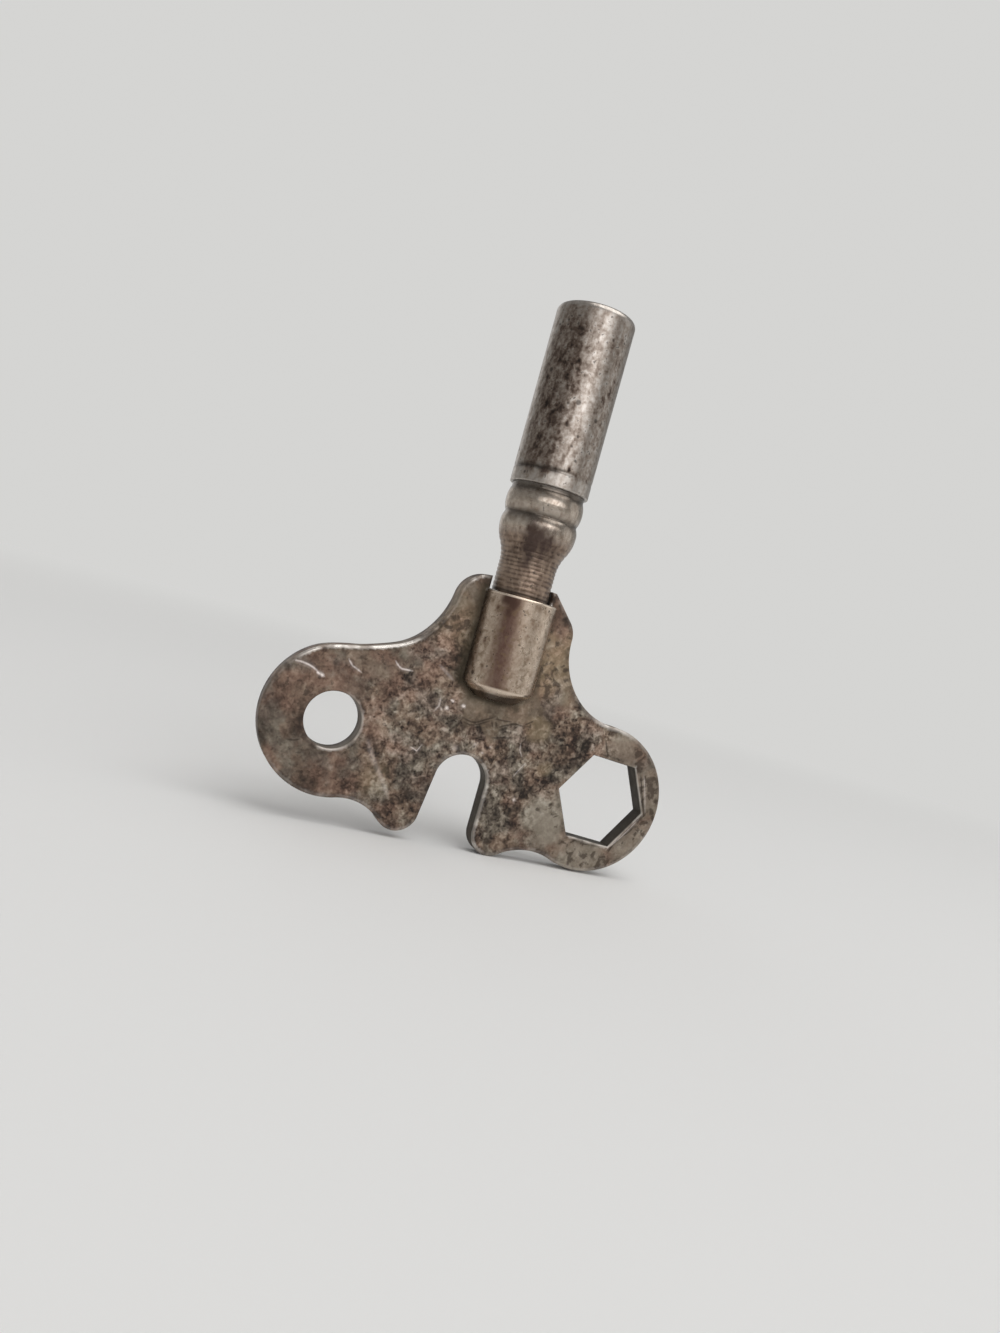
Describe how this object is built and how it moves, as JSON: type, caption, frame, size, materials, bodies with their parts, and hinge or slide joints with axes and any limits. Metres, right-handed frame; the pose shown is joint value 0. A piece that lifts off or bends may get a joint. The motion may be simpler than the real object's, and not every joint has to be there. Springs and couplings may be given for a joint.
{
  "type": "clock winding key",
  "caption": "Clock winding key: a turned steel barrel with a square socket, brazed to a flat winged bow with a round hanging hole in one wing and a hexagonal spanner hole in the other.",
  "frame": {"origin": "centre of the square socket's mouth, on the barrel's axis", "axes": "+Z along the barrel's axis, out of the socket's mouth; X across the bow, with the hexagon on +X; Y through the bow's thickness, with the pictured face on -Y"},
  "size_m": [0.0436, 0.008, 0.055],
  "materials": {
    "shank_steel": "turned steel with worn, tarnished nickel plate, brown-black mottling and fine lathe marks",
    "bow_steel": "stamped sheet steel, matte brown-grey tarnish with dark speckle, scratches and worn bright edges"
  },
  "bodies": {
    "root": {"shank": "shank_steel", "bow": "bow_steel"}
  },
  "joints": []
}
